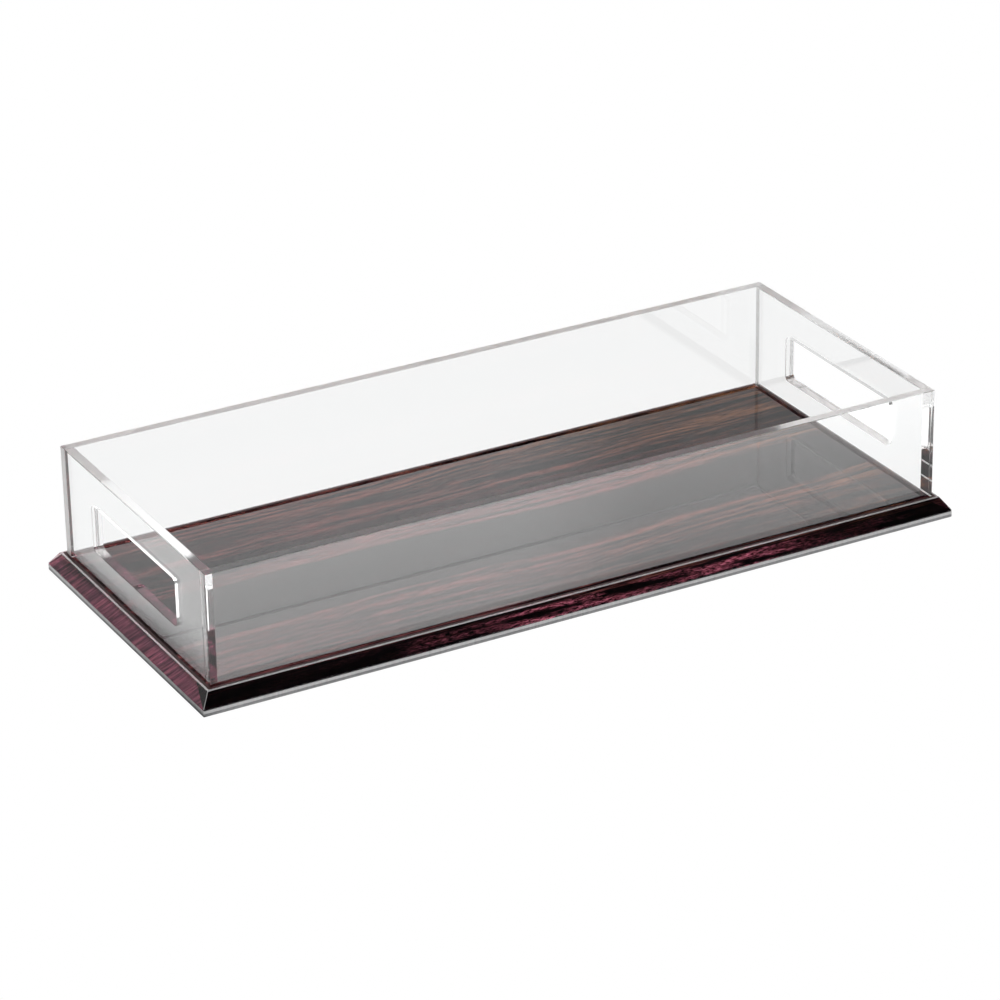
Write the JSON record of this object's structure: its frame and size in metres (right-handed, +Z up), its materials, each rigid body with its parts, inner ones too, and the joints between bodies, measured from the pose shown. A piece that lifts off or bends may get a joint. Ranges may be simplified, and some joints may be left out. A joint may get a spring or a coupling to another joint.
{
  "type": "open display tray",
  "caption": "Open clear acrylic display tray with a hand hole in each end panel, on a bevelled clear base over a dark wood-grain layer.",
  "frame": {"origin": "centre of the underside of the base", "axes": "+Z up; X along the long panels; the front long panel is at -Y and the left end panel at -X"},
  "size_m": [0.4874, 0.2094, 0.0802],
  "materials": {
    "panel": "clear acrylic with polished faces and edges",
    "base_plate": "clear acrylic, polished top, routed bevel",
    "wood_grain": "printed dark rosewood grain, seen through the base plate",
    "lower_plate": "clear acrylic with sawn edges",
    "backing": "grey sheet, satin"
  },
  "bodies": {
    "root": {"backing_sheet": "backing", "lower_plate": "lower_plate", "wood_grain_layer": "wood_grain", "bevelled_plate": "base_plate", "front_panel": "panel", "back_panel": "panel", "left_end_panel": "panel", "right_end_panel": "panel"}
  },
  "joints": []
}
